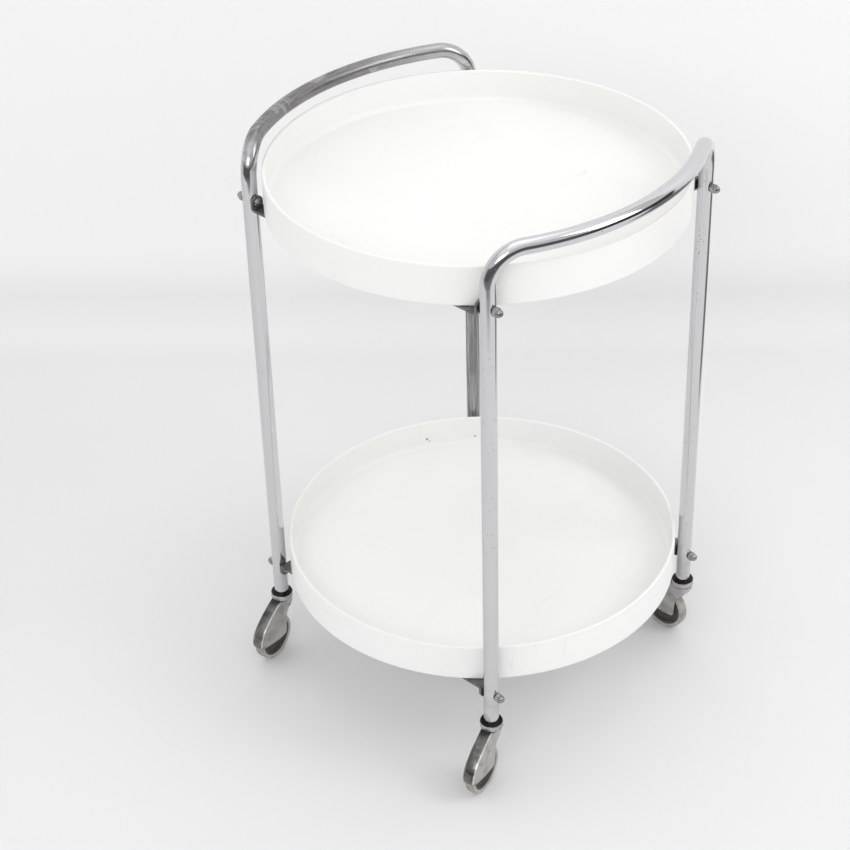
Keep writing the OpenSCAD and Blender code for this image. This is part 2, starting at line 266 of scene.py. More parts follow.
class Graph:
    """Adds shader nodes to a tree. A value may be a number, a tuple or a socket."""

    def __init__(self, tree):
        self.tree = tree
        tree.nodes.clear()

    def put(self, socket, value):
        if isinstance(value, bpy.types.NodeSocket):
            self.tree.links.new(value, socket)
        elif isinstance(value, (tuple, list)) and len(value) == 3 and socket.type == "RGBA":
            socket.default_value = (*value, 1)
        else:
            socket.default_value = value

    def node(self, kind, inputs=(), **settings):
        made = self.tree.nodes.new(kind)
        for key, value in settings.items():
            setattr(made, key, value)
        for key, value in dict(inputs).items():
            self.put(made.inputs[key], value)
        return made

    def math(self, op, a, b=0.0, c=None, clamp=False):
        inputs = {0: a, 1: b}
        if c is not None:
            inputs[2] = c
        return self.node("ShaderNodeMath", inputs, operation=op, use_clamp=clamp).outputs[0]

    def times(self, a, b, clamp=False):
        return self.math("MULTIPLY", a, b, clamp=clamp)

    def plus(self, a, b, clamp=False):
        return self.math("ADD", a, b, clamp=clamp)

    def most(self, a, b):
        return self.math("MAXIMUM", a, b)

    def band(self, value, span, to=(0.0, 1.0)):
        """value over span, mapped smoothly onto to and clamped."""
        return self.node("ShaderNodeMapRange", {
            "Value": value, "From Min": span[0], "From Max": span[1],
            "To Min": to[0], "To Max": to[1]}, interpolation_type="SMOOTHSTEP").outputs[0]

    def mix(self, amount, a, b):
        """From colour a to colour b."""
        return self.node("ShaderNodeMix", {0: amount, 6: a, 7: b},
                         data_type="RGBA", clamp_factor=True).outputs[2]

    def fmix(self, amount, a, b):
        """From number a to number b."""
        return self.node("ShaderNodeMix", {0: amount, 2: a, 3: b},
                         data_type="FLOAT", clamp_factor=True).outputs[0]

    def dot(self, at, direction):
        return self.node("ShaderNodeVectorMath", {0: at, 1: direction},
                         operation="DOT_PRODUCT").outputs["Value"]


class Mat(Graph):
    """A material around one Principled shader, textured in object space (m)."""
    INPUTS = {"color": "Base Color", "rough": "Roughness", "metal": "Metallic",
              "normal": "Normal", "spec": "Specular IOR Level"}

    def __init__(self, name):
        self.material = bpy.data.materials.new(name)
        self.material.use_nodes = True
        super().__init__(self.material.node_tree)
        out = self.node("ShaderNodeOutputMaterial")
        self.shader = self.node("ShaderNodeBsdfPrincipled")
        self.put(out.inputs[0], self.shader.outputs[0])
        self.place = self.node("ShaderNodeTexCoord").outputs["Object"]

    def noise(self, scale, detail=4.0, rough=0.55, at=None, distortion=0.0):
        return self.node("ShaderNodeTexNoise", {
            "Vector": at or self.place, "Scale": scale, "Detail": detail,
            "Roughness": rough, "Distortion": distortion}).outputs["Fac"]

    def cells(self, scale, at=None):
        return self.node("ShaderNodeTexVoronoi", {
            "Vector": at or self.place, "Scale": scale}).outputs["Distance"]

    def mapped(self, at=None, **inputs):
        return self.node("ShaderNodeMapping", {"Vector": at or self.place, **inputs}).outputs[0]

    def split(self):
        return self.node("ShaderNodeSeparateXYZ", {0: self.place}).outputs

    def radius(self):
        """Distance from the Z axis."""
        x, y, _ = self.split()
        return self.math("SQRT", self.plus(self.times(x, x), self.times(y, y)))

    def crease_shade_and_grime(self, reach, samples=3):
        """About 1 in creases, 0 in the open: an occlusion mask, used for painted shade in
        creases and for dirt and rust there.
        """
        ao = self.node("ShaderNodeAmbientOcclusion", {"Distance": reach}, samples=samples)
        return self.math("SUBTRACT", 1.0, ao.outputs["AO"])

    def bump(self, height, strength, distance, under=None):
        inputs = {"Strength": strength, "Distance": distance, "Height": height}
        if under is not None:
            inputs["Normal"] = under
        return self.node("ShaderNodeBump", inputs).outputs[0]

    def near(self, point):
        """Distance from a point."""
        return self.node("ShaderNodeVectorMath", {0: self.place, 1: point},
                         operation="DISTANCE").outputs["Value"]

    def done(self, **inputs):
        for key, value in inputs.items():
            self.put(self.shader.inputs[self.INPUTS[key]], value)
        return self.material


# ---- materials ----

def chrome(name, handled):
    """Old chrome on drawn tube: draw lines, pits, haze; rubbed dull on the bow if handled."""
    m = Mat(name)
    uv = m.node("ShaderNodeUVMap", uv_map="flow").outputs[0]
    x, _, z = m.split()
    top, foot_z = HANDLE_Z * MM, LEG_Z * MM
    lines = m.noise(1.0, detail=3, rough=0.6, at=m.mapped(uv, Scale=(900, 14, 1)))
    haze = m.noise(9, detail=5, rough=0.6)
    blot = m.noise(38, detail=6, rough=0.65, distortion=0.6)
    pits = m.cells(230)
    some = m.noise(14, detail=3, rough=0.5)
    pit = m.times(m.band(pits, (0.16, 0.07)), m.band(some, (0.56, 0.66)))
    if handled:
        # dull stretch of the bow, strongest left of the middle
        zone = m.times(m.band(x, (-0.186, -0.16)), m.band(x, (0.16, 0.02), to=(0.42, 1.0)))
        zone = m.times(zone, m.band(z, (top - 0.02, top - 0.008)))
        edge = m.times(m.band(blot, (0.36, 0.56)), 0.75)
        dull = m.times(zone, m.plus(edge, 0.68, clamp=True))
        # blotches down the elbows
        elbow = m.times(m.band(z, (top - 0.075, top - 0.02)), m.band(blot, (0.50, 0.60)))
        dull = m.most(dull, m.times(elbow, 0.45))
        # streaks down the right leg
        far = m.times(m.band(x, (0.10, 0.16)), m.band(z, (top - 0.05, top - 0.09)))
        run = m.noise(1.0, detail=4, rough=0.65, at=m.mapped(uv, Scale=(240, 9, 1)))
        dull = m.most(dull, m.times(far, m.band(run, (0.30, 0.62), to=(0.35, 1.0))))
    else:
        dull = m.times(m.band(blot, (0.62, 0.72)), 0.18)
    speck = m.noise(700, detail=3, rough=0.7)
    streak = m.noise(1.0, detail=4, rough=0.7, at=m.mapped(uv, Scale=(420, 26, 1)))
    streak = m.band(streak, (0.32, 0.68))
    foot = m.times(m.band(z, (foot_z + 0.055, foot_z)), m.band(blot, (0.42, 0.62)))
    # bright, then dull, foot and pits over it
    color = m.mix(m.times(haze, 0.30), (0.66, 0.66, 0.675), (0.59, 0.59, 0.605))
    speckle = m.math("MULTIPLY_ADD", speck, 0.35, m.times(streak, 0.65))
    color = m.mix(m.times(dull, 0.85), color,
                  m.mix(speckle, (0.060, 0.058, 0.055), (0.26, 0.255, 0.245)))
    color = m.mix(m.times(foot, 0.55), color, (0.30, 0.285, 0.26))
    color = m.mix(pit, color, (0.06, 0.05, 0.045))
    rough = m.plus(m.band(haze, (0.40, 0.72), to=(0.035, 0.13)), m.times(lines, 0.035))
    rough = m.fmix(dull, rough, m.band(speck, (0.3, 0.7), to=(0.26, 0.44)))
    rough = m.fmix(m.times(foot, 0.6), rough, 0.34)
    rough = m.fmix(pit, rough, 0.7)
    wave = m.noise(26, detail=2, rough=0.5)
    normal = m.bump(wave, strength=0.10, distance=0.0006)
    normal = m.bump(lines, strength=0.05, distance=0.00003, under=normal)
    normal = m.bump(m.times(pit, -1.0), strength=0.7, distance=0.0002, under=normal)
    normal = m.bump(m.times(dull, speck), strength=0.25, distance=0.00006, under=normal)
    return m.done(color=color, metal=m.fmix(pit, 1.0, 0.3), rough=rough, normal=normal)


def tray_plastic(name, chips, shift):
    """Off-white moulded plastic: orange peel, yellowing, scuffs. chips are (place, radius)."""
    m = Mat(name)
    at = m.mapped(Location=(shift, shift * 0.7, 0))
    tone = m.noise(3.2, detail=4, rough=0.55, at=at)
    cloud = m.noise(16, detail=5, rough=0.6, at=at)
    peel = m.noise(420, detail=2, rough=0.5, at=at)
    color = m.mix(m.band(tone, (0.35, 0.7)), (0.885, 0.885, 0.872), (0.865, 0.862, 0.838))
    color = m.mix(m.times(m.band(cloud, (0.55, 0.75)), 0.35), color, (0.83, 0.825, 0.80))
    # hairline scratches: thin level sets of stretched noises
    scratch = 0.0
    # x scale, y scale, turn, line width
    strokes = ((60, 4, 0.4, 0.006), (5, 48, -0.3, 0.005), (36, 36, 1.1, 0.004))
    for k, (sx, sy, turn, width) in enumerate(strokes):
        field = m.noise(1.0, detail=2, rough=0.4, distortion=0.3,
                        at=m.mapped(at, Rotation=(0, 0, turn), Scale=(sx, sy, 1)))
        line = m.band(m.math("ABSOLUTE", m.math("SUBTRACT", field, 0.5)), (width, 0.0))
        patches = m.noise(7 + 2 * k, detail=2, rough=0.5, at=at)
        scratch = m.most(scratch, m.times(line, m.band(patches, (0.60, 0.68))))
    color = m.mix(m.times(scratch, 0.30), color, (0.62, 0.61, 0.59))
    # painted shade darkening the creases in patches, mixed with brownish dirt
    crease_shade_and_dirt = m.times(m.crease_shade_and_grime(reach=0.006), m.band(cloud, (0.35, 0.6)))
    color = m.mix(m.times(crease_shade_and_dirt, 0.22), color, (0.55, 0.52, 0.46))
    # small specks, then the ragged chips
    specks = m.times(m.band(m.cells(150, at=at), (0.13, 0.05)),
                     m.band(m.noise(10, detail=2, rough=0.5, at=at), (0.68, 0.73)))
    chip = m.times(specks, 0.35)
    ragged = m.noise(260, detail=3, rough=0.7, at=at)
    for point, r in chips:
        away = m.plus(m.near(point), m.times(m.math("SUBTRACT", ragged, 0.5), r * 1.7))
        chip = m.most(chip, m.band(away, (r, r * 0.55)))
    color = m.mix(m.times(chip, 0.8), color, (0.27, 0.26, 0.25))
    rough = m.plus(m.band(cloud, (0.3, 0.75), to=(0.30, 0.42)), m.times(scratch, 0.18))
    rough = m.fmix(chip, rough, 0.75)
    wave = m.noise(24, detail=2, rough=0.5, at=at)
    normal = m.bump(wave, strength=0.10, distance=0.0006)
    normal = m.bump(peel, strength=0.10, distance=0.00008, under=normal)
    return m.done(color=color, rough=rough, normal=normal, spec=0.42)


def strip_steel(name):
    """Rolled strip with dulled zinc: long grain, blotches, rust at the bends."""
    m = Mat(name)
    grain = m.noise(1.0, detail=3, rough=0.7, at=m.mapped(Scale=(1600, 18, 1600)))
    blot = m.noise(55, detail=6, rough=0.65)
    fine = m.noise(900, detail=2, rough=0.6)
    crease = m.crease_shade_and_grime(reach=0.006)
    rust = m.times(m.band(m.noise(90, detail=5, rough=0.7), (0.56, 0.66)),
                   m.plus(0.15, m.times(crease, 0.9), clamp=True))
    color = m.mix(m.band(blot, (0.35, 0.68)), (0.22, 0.216, 0.21), (0.10, 0.097, 0.092))
    color = m.mix(m.times(grain, 0.35), color, (0.34, 0.336, 0.33))
    color = m.mix(rust, color, m.mix(fine, (0.13, 0.065, 0.03), (0.20, 0.12, 0.07)))
    rough = m.plus(m.band(blot, (0.3, 0.7), to=(0.30, 0.50)), m.times(grain, 0.10))
    rough = m.fmix(rust, rough, 0.8)
    normal = m.bump(grain, strength=0.25, distance=0.00008)
    normal = m.bump(blot, strength=0.15, distance=0.0002, under=normal)
    return m.done(color=color, metal=m.fmix(rust, 0.95, 0.15), rough=rough, normal=normal)


def fastener(name, bright, tint):
    """Worn plated fasteners: blotchy plating, with painted shade and dirt darkening the creases.
    """
    m = Mat(name)
    blot = m.noise(170, detail=5, rough=0.65)
    fine = m.noise(1400, detail=3, rough=0.7)
    crease = m.times(m.crease_shade_and_grime(reach=0.0035), 1.5, clamp=True)
    color = m.mix(m.band(blot, (0.38, 0.66)), tuple(bright * t for t in tint),
                  tuple(bright * 0.62 * t for t in tint))
    # painted shade with dirt: the creases go dark and duller
    color = m.mix(m.times(crease, 0.85), color,
                  m.mix(fine, (0.035, 0.03, 0.025), (0.12, 0.09, 0.065)))
    rough = m.fmix(crease, m.band(blot, (0.3, 0.7), to=(0.16, 0.36)), 0.7)
    normal = m.bump(blot, strength=0.20, distance=0.00015)
    normal = m.bump(fine, strength=0.20, distance=0.00004, under=normal)
    return m.done(color=color, metal=m.fmix(crease, 1.0, 0.5), rough=rough, normal=normal)


def hood_metal(name):
    """Polished, worn grey casting. 'back' marks the darker brushed strip over the wheel."""
    m = Mat(name)
    mark = m.node("ShaderNodeAttribute", attribute_name="back").outputs["Fac"]
    back = m.band(mark, (0.55, 0.95))
    # mask along the ridge, used for a painted highlight
    ridge = m.times(m.band(mark, (0.06, 0.34)), m.band(mark, (0.66, 0.42)))
    z = m.split()[2]
    # each castor gets its own stretch of the textures
    chance = m.node("ShaderNodeObjectInfo").outputs["Random"]
    at = m.mapped()
    shift = m.node("ShaderNodeCombineXYZ", {0: chance, 1: chance, 2: 0.0}).outputs[0]
    at = m.node("ShaderNodeVectorMath", {0: at, 1: shift}, operation="ADD").outputs[0]
    brush = m.noise(1.0, detail=4, rough=0.65,
                    at=m.mapped(at, Rotation=(0, 0.9, 0), Scale=(60, 900, 900)))
    blot = m.noise(75, detail=6, rough=0.65, at=at, distortion=0.4)
    broad = m.noise(28, detail=3, rough=0.5, at=at)
    fine = m.noise(1300, detail=3, rough=0.7, at=at)
    # occlusion mask: painted shade with dirt in the creases
    crease = m.times(m.crease_shade_and_grime(reach=0.006, samples=4), 1.55, clamp=True)
    warm = m.mix(broad, (0.58, 0.565, 0.545), (0.50, 0.50, 0.50))
    color = m.mix(m.band(blot, (0.42, 0.72), to=(0.0, 0.8)), warm, (0.34, 0.325, 0.305))
    dark = m.mix(m.band(blot, (0.35, 0.65)), (0.125, 0.122, 0.117), (0.048, 0.046, 0.043))
    color = m.mix(m.times(back, m.band(broad, (0.30, 0.62), to=(1.0, 0.72))), color, dark)
    # painted shade: a dark ring just under the collar's overhang
    collar_shade = m.times(m.band(z, (0.0715, 0.0788)), m.band(z, (0.0800, 0.0793)))
    collar_shade = m.times(collar_shade, m.fmix(back, m.band(z, (0.0765, 0.0785)), 1.0))
    color = m.mix(m.times(collar_shade, 0.9), color, (0.022, 0.020, 0.018))
    # painted highlight along the ridge, broken up like worn polish; painted shade with dirt in
    # the creases; pits
    color = m.mix(m.times(ridge, m.band(blot, (0.75, 0.45))), color, (0.86, 0.855, 0.845))
    color = m.mix(m.times(crease, 0.9), color,
                  m.mix(fine, (0.02, 0.017, 0.014), (0.08, 0.06, 0.045)))
    pit = m.times(m.band(m.cells(420, at=at), (0.20, 0.08)),
                  m.band(m.noise(40, detail=2, rough=0.5, at=at), (0.52, 0.62)))
    color = m.mix(m.times(pit, 0.7), color, (0.07, 0.06, 0.05))
    rough = m.plus(m.band(blot, (0.30, 0.72), to=(0.12, 0.26)), m.times(brush, 0.08))
    rough = m.plus(rough, m.times(back, 0.08))
    rough = m.fmix(crease, rough, 0.75)
    normal = m.bump(broad, strength=0.22, distance=0.0010)
    normal = m.bump(brush, strength=0.18, distance=0.00005, under=normal)
    normal = m.bump(m.math("SUBTRACT", m.times(fine, 0.3), pit),
                    strength=0.4, distance=0.0001, under=normal)
    return m.done(color=color, metal=m.fmix(crease, 1.0, 0.45), rough=rough, normal=normal)


def black_plastic(name):
    """Black plastic with blotches of dust."""
    m = Mat(name)
    fine = m.noise(900, detail=3, rough=0.7)
    blot = m.noise(120, detail=5, rough=0.6)
    dust = m.times(m.band(blot, (0.50, 0.75)), 0.5)
    color = m.mix(dust, (0.004, 0.004, 0.0045), (0.022, 0.021, 0.019))
    rough = m.band(blot, (0.3, 0.7), to=(0.22, 0.48))
    normal = m.bump(blot, strength=0.2, distance=0.0001)
    normal = m.bump(fine, strength=0.2, distance=0.00003, under=normal)
    return m.done(color=color, rough=rough, normal=normal, spec=0.22)


def wheel_plastic(name):
    """Dark moulded wheel centre with turned rings and dust."""
    m = Mat(name)
    rings = m.math("SINE", m.times(m.radius(), 9000.0))
    blot = m.noise(110, detail=5, rough=0.65)
    fine = m.noise(1100, detail=3, rough=0.7)
    crease = m.times(m.crease_shade_and_grime(reach=0.004), 1.2, clamp=True)
    color = m.mix(m.band(blot, (0.35, 0.7)), (0.050, 0.048, 0.046), (0.092, 0.088, 0.083))
    # painted shade with dirt darkening the creases
    color = m.mix(m.times(crease, 0.6), color, (0.035, 0.03, 0.026))
    rough = m.band(blot, (0.3, 0.7), to=(0.38, 0.62))
    normal = m.bump(rings, strength=0.10, distance=0.00004)
    normal = m.bump(m.plus(blot, m.times(fine, 0.4)),
                    strength=0.3, distance=0.0001, under=normal)
    return m.done(color=color, rough=rough, normal=normal, spec=0.45)


def tyre_rubber(name):
    """Pale grey-beige rubber, brown where it rolls."""
    m = Mat(name)
    r = m.radius()
    blot = m.noise(95, detail=6, rough=0.65)
    fine = m.noise(1200, detail=3, rough=0.7)
    tread = m.times(m.band(r, (0.0284, 0.0296)), m.band(blot, (0.28, 0.62)))
    color = m.mix(m.band(blot, (0.32, 0.7)), (0.50, 0.475, 0.435), (0.39, 0.365, 0.33))
    color = m.mix(m.times(tread, 0.75), color, (0.23, 0.205, 0.175))
    color = m.mix(m.times(m.band(fine, (0.55, 0.75)), 0.35), color, (0.20, 0.18, 0.16))
    rough = m.band(blot, (0.3, 0.7), to=(0.55, 0.82))
    normal = m.bump(fine, strength=0.35, distance=0.00008)
    normal = m.bump(blot, strength=0.3, distance=0.0003, under=normal)
    return m.done(color=color, rough=rough, normal=normal, spec=0.35)


CHROME_REAR = chrome("chrome_rear", handled=True)
CHROME_FRONT = chrome("chrome_front", handled=False)
STRIP = strip_steel("strip_steel")
NICKEL = fastener("nickel_fastener", bright=0.42, tint=(1.0, 0.985, 0.96))
ZINC = fastener("zinc_screw", bright=0.36, tint=(1.0, 0.99, 0.97))
HOOD = hood_metal("cast_hood")
BLACK = black_plastic("black_socket")
CORE = wheel_plastic("dark_wheel")
TYRE = tyre_rubber("pale_tyre")

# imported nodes, by the start of their name, keep a procedural finish too
FINISHES = {
    "front_handle": CHROME_FRONT, "rear_handle": CHROME_REAR,
    "upper_crossbar": STRIP, "lower_crossbar": STRIP, "castor_socket": BLACK,
    "castor_hood": HOOD, "castor_stem": NICKEL, "grip_ring": ZINC, "axle": ZINC,
    "wheel_core": CORE, "tyre": TYRE, "upper_bolts": NICKEL, "lower_bolts": NICKEL,
    "upper_cap": NICKEL, "lower_cap": NICKEL, "upper_tray_screws": ZINC,
    "lower_tray_screws": ZINC}
for node, obj in frame["nodes"].items():
    for start, mat in FINISHES.items():
        if node.startswith(start):
            obj.data.materials.clear()
            obj.data.materials.append(mat)


# ---- tube frames ----

TUBE_ROUND = 0.0565  # texture width once round the tube (m)
TUBE_SIDES = 48
END_INSET = 0.45  # bevel at the tube ends, across and along
END_LENGTH = 0.5


def tube_rows():
    """Centre line on the +Y side: centre, tangent, side vector, bend amount (0 to 1)."""
    turn = 2 * math.atan((REACH - LEG) / (LEG + BEND_R))
    bow_r = (LEG - BEND_R * math.cos(turn)) / math.sin(turn)
    bow_y = REACH - bow_r
    top = HANDLE_Z - BEND_R
    left = Vector((math.cos(turn), math.sin(turn), 0))  # heading at the bow's left end
    right = Vector((math.cos(turn), -math.sin(turn), 0))  # and at its right end
    heights = list(np.linspace(LEG_Z + END_LENGTH, top, 34))[:-1]
    rows = [(Vector((-LEG, LEG, z)), UP.copy(), UP.cross(left), 0.0) for z in heights]
    centre = Vector((-LEG, LEG, top)) + BEND_R * left
    for k in range(25):
        a = math.pi / 2 * k / 24
        rows.append((centre - BEND_R * math.cos(a) * left + BEND_R * math.sin(a) * UP,
                     math.sin(a) * left + math.cos(a) * UP, UP.cross(left), math.sin(2 * a)))
    for k in range(1, 72):
        a = math.pi / 2 + turn - 2 * turn * k / 72
        tangent = Vector((math.sin(a), -math.cos(a), 0))
        rows.append((Vector((bow_r * math.cos(a), bow_y + bow_r * math.sin(a), HANDLE_Z)),
                     tangent, UP.cross(tangent), 0.0))
    centre = Vector((LEG, LEG, top)) - BEND_R * right
    for k in range(25):
        a = math.pi / 2 * k / 24
        rows.append((centre + BEND_R * math.sin(a) * right + BEND_R * math.cos(a) * UP,
                     math.cos(a) * right - math.sin(a) * UP, UP.cross(right), math.sin(2 * a)))
    rows += [(Vector((LEG, LEG, z)), -UP, UP.cross(right), 0.0) for z in reversed(heights)]
    return rows


def tube_frame(side):
    """Two legs and a bowed handle in one tube. side is +1 for the rear, -1 for the front."""
    rows = tube_rows()
    verts, uv, rings = [], [], []

    def ring(row, r, run, push=0.0):
        centre, tangent, across, bend = row
        up = tangent.cross(across).normalized()
        across = across.normalized()
        centre = centre + tangent * push
        rings.append(list(range(len(verts), len(verts) + TUBE_SIDES)))
        for k in range(TUBE_SIDES):
            a = 2 * math.pi * k / TUBE_SIDES
            # the tube flattens a little where it is bent
            verts.append(centre + across * (r * (1 + 0.012 * bend) * math.cos(a))
                         + up * (r * (1 - 0.022 * bend) * math.sin(a)))
            uv.append((k / TUBE_SIDES * TUBE_ROUND, run * MM))

    run, runs = 0.0, [0.0]
    for a, b in zip(rows, rows[1:]):
        run += (b[0] - a[0]).length
        runs.append(run)
    bore = TUBE_R - TUBE_WALL
    ring(rows[0], TUBE_R - END_INSET, 0.0, -END_LENGTH)
    for row, u in zip(rows, runs):
        ring(row, TUBE_R, u)
    ring(rows[-1], TUBE_R - END_INSET, run, END_LENGTH)
    ring(rows[-1], bore, run, END_LENGTH)
    for row, u in list(zip(rows, runs))[::-1][3::3]:
        ring(row, bore, u)
    ring(rows[0], bore, 0.0, -END_LENGTH)
    faces = []
    for a, b in zip(rings, rings[1:] + rings[:1]):
        faces += bridge(a, b)
    return ([(p.x, side * p.y, p.z) for p in verts], faces), uv


for side, node, mat in ((1, "rear_handle_frame", CHROME_REAR),
                        (-1, "front_handle_frame", CHROME_FRONT)):
    part, uv = tube_frame(side)
    piece("tube_" + node, mesh(node, part, 40, uv), mat, "trolley", node)


# ---- trays ----

RIM_W = 4.0
RIM_RISE = 38  # rim above the tray floor
FLOOR_T = 3.5
# chips on the lower tray: place and radius (m)
CHIPS = [((-0.0370, 0.2326, 0.1470), 0.0019), ((0.1151, 0.2055, 0.1571), 0.0024),
         ((0.1671, 0.1659, 0.1535), 0.0020), ((0.1180, 0.2038, 0.1530), 0.0013)]


def tray_part(base_z):
    """Round tray with four screw bosses under its floor."""
    r, h, inner = TRAY_R, TRAY_H, TRAY_R - RIM_W
    floor = h - RIM_RISE
    under = floor - FLOOR_T
    outline = [  # r, z, corner radius
        (0, floor), (40, floor), (120, floor), (190, floor), (inner - 14, floor, 0),
        (inner, floor, 10.0), (inner, h, 1.9), (r, h, 1.9), (r, h - 9), (r, 9), (r, 0, 2.4),
        (inner, 0, 1.3), (inner, under, 2.0), (190, under), (120, under), (40, under),
        (0, under)]
    body = lathe(fillet(outline, 8, closed=False), 288)
    boss_top = under + 0.6
    boss = lathe(fillet([(2.1, 0), (6.5, 0, 0.7), (6.5, boss_top), (2.1, boss_top)], 3), 40)
    bosses = [moved(boss, Matrix.Translation((sx * LEG, sy * SCREW_Y, 0)))
              for sx in (-1, 1) for sy in (-1, 1)]
    return moved(joined(body, *bosses), Matrix.Translation((0, 0, base_z)))


for level, z, chips, shift in (("upper", UPPER_Z, [], 0.0), ("lower", LOWER_Z, CHIPS, 3.7)):
    tray = level + "_tray"
    piece("moulded_" + tray, mesh(tray, tray_part(z), 40),
          tray_plastic("tray_" + level, chips, shift), "trolley", tray,
          mods=[WEIGHTED])


# ---- crossbars ----

def crossbar(x, face_z, direction, bolt_z):
    """Flat strip along Y, both ends bent into rounded tabs.

    face_z is the strip's face on the inside of the bends; direction is +1 for tabs that
    rise and -1 for tabs that hang.
    """
    bend, half_width, half = 1.0, 8.0, STRIP_T / 2
    tab = LEG - TUBE_R
    flat = tab - STRIP_T - bend
    rise = direction * (bolt_z - face_z)
    rows = [(y, -half, -90.0, half_width) for y in np.linspace(0, flat, 15)]
    for k in range(1, 9):
        a = -90 + 90 * k / 8
        rows.append((flat + (bend + half) * math.cos(math.radians(a)),
                     bend + (bend + half) * math.sin(math.radians(a)), a, half_width))
    rows.append((tab - half, (bend + rise) / 2, 0.0, half_width))
    for k in range(13):
        a = math.radians(84 * k / 12)
        rows.append((tab - half, rise + half_width * math.sin(a), 0.0,
                     half_width * math.cos(a)))
    # y, z, normal angle, half width
    full = [(-y, z, 180 - a, w) for y, z, a, w in rows[:0:-1]] + rows
    columns = np.linspace(-1, 1, 9)
    verts, faces = [], []
    for offset in (half, -half):
        for y, z, a, w in full:
            ny, nz = math.cos(math.radians(a)), math.sin(math.radians(a))
            verts += [(x + c * w, y + offset * ny, z + offset * nz) for c in columns]
    n, m = len(full), len(columns)
    b = n * m  # first vertex of the second face
    for i in range(n - 1):
        here, there = i * m, (i + 1) * m
        for j in range(m - 1):
            faces.append((here + j, here + j + 1, there + j + 1, there + j))
            faces.append((b + here + j, b + there + j, b + there + j + 1, b + here + j + 1))
        for j in (0, m - 1):
            faces.append((here + j, there + j, b + there + j, b + here + j))
    for here in (0, (n - 1) * m):
        for j in range(m - 1):
            faces.append((here + j, b + here + j, b + here + j + 1, here + j + 1))
    return [(p[0], p[1], face_z + direction * p[2]) for p in verts], faces


BEVEL = ("BEVEL", {"width": 0.00055, "segments": 3, "limit_method": "ANGLE",
                   "angle_limit": math.radians(50), "harden_normals": False})
for side, x in (("left", -LEG), ("right", LEG)):
    for level, face_z, direction, bolt_z in (("upper", UPPER_Z, 1, UPPER_BOLT),
                                             ("lower", LOWER_Z - STRIP_T, -1, LOWER_BOLT)):
        node = "%s_crossbar_%s" % (level, side)
        piece("strip_%s_%s" % (level, side),
              mesh(node, crossbar(x, face_z, direction, bolt_z), 40),
              STRIP, "trolley", node, mods=[BEVEL, WEIGHTED])


# ---- fasteners ----

def screw_head(r, h, shank_r, length, n=48):
    """A domed head below z = 0 with its shank above."""
    profile = [(0, -h)]
    for k in range(1, 9):
        a = k / 8 * math.pi / 2
        profile.append((r * 0.96 * math.sin(a), -h * (0.25 + 0.75 * math.cos(a))))
    profile += [(r, -h * 0.12), (r * 0.97, 0), (shank_r, 0), (shank_r, length - 0.6),
                (shank_r - 0.6, length), (0, length)]
    return lathe(profile, n)


def cap_nut():
    """Hexagonal cap nut with chamfered corners and a dome, seat at z = 0."""
    n, flat_r, dome_r, dome_z = 96, 5.0, 4.48, 6.2
    # z, radius the hexagon is cut back to
    stations = ((0.0, 5.05), (0.35, 5.45), (0.7, 5.9), (2.0, 9), (3.5, 9), (4.4, 5.9),
                (4.75, 5.45), (5.05, 5.0), (5.1, 4.72))
    verts, faces, rings = [], [], []
    for z, limit in stations:
        rings.append(list(range(len(verts), len(verts) + n)))
        for k in range(n):
            a = 2 * math.pi * k / n
            off = (a + math.pi / 6) % (math.pi / 3) - math.pi / 6
            r = min(flat_r / math.cos(off), limit)
            verts.append((r * math.cos(a), r * math.sin(a), z))
    dome = [(dome_r * math.cos(a), dome_z + 4.35 * math.sin(a))
            for a in np.linspace(0.12, math.pi / 2 - 0.09, 11)]
    for r, z in [(4.5, 5.3), (dome_r, dome_z)] + dome:
        rings.append(list(range(len(verts), len(verts) + n)))
        verts += circle(r, z, n)
    tip = len(verts)
    verts.append((0, 0, dome_z + 4.36))
    for a, b in zip(rings, rings[1:]):
        faces += bridge(a, b)
    last = rings[-1]
    faces += [(last[k], last[(k + 1) % n], tip) for k in range(n)]
    bore = len(verts)
    for r, z in ((3.6, 0.0), (3.02, 0.6), (3.02, 8.0)):
        verts += circle(r, z, n)
    bore_end = len(verts)
    verts.append((0, 0, 8.2))
    for k in range(n):
        j = (k + 1) % n
        faces.append((rings[0][k], bore + k, bore + j, rings[0][j]))
        faces.append((bore + k, bore + n + k, bore + n + j, bore + j))
        faces.append((bore + n + k, bore + 2 * n + k, bore + 2 * n + j, bore + n + j))
        faces.append((bore + 2 * n + k, bore_end, bore + 2 * n + j))
    return verts, faces


def at_legs(part, y, z, turn):
    """Four copies with local +Z pointing away from the centre along Y."""
    copies = []
    for i, (sx, sy) in enumerate(((-1, -1), (1, -1), (-1, 1), (1, 1))):
        copies.append(moved(part, Matrix.Translation((sx * LEG, sy * y, z))
                            @ Matrix.Rotation(-sy * math.pi / 2, 4, "X")
                            @ Matrix.Rotation(turn + 0.9 * i, 4, "Z")))
    return joined(*copies)


bolt = mesh("bolt", screw_head(r=5.0, h=2.6, shank_r=3.0, length=2 * TUBE_R + STRIP_T + 7.0))
bolt = as_part(cut(bolt, [block(-6, 6, -0.6, 0.6, -3.2, -1.5)], "bolt_cut"))
SMALL = ("BEVEL", {"width": 0.00018, "segments": 2, "limit_method": "ANGLE",
                   "angle_limit": math.radians(38)})
for level, z, turn in (("upper", UPPER_BOLT, 0.5), ("lower", LOWER_BOLT, 1.3)):
    me = mesh(level + "_bolts", at_legs(bolt, LEG - TUBE_R - STRIP_T, z, turn), 30)
    piece("bolts_" + level, me, NICKEL, "trolley", level + "_bolts",
          mods=[SMALL])
nut = cap_nut()
for level, z, turn in (("upper", UPPER_BOLT, 0.2), ("lower", LOWER_BOLT, 0.7)):
    node = level + "_cap_nuts"
    piece("cap_nuts_" + level, mesh(node, at_legs(nut, LEG + TUBE_R, z, turn), 24),
          NICKEL, "trolley", node)

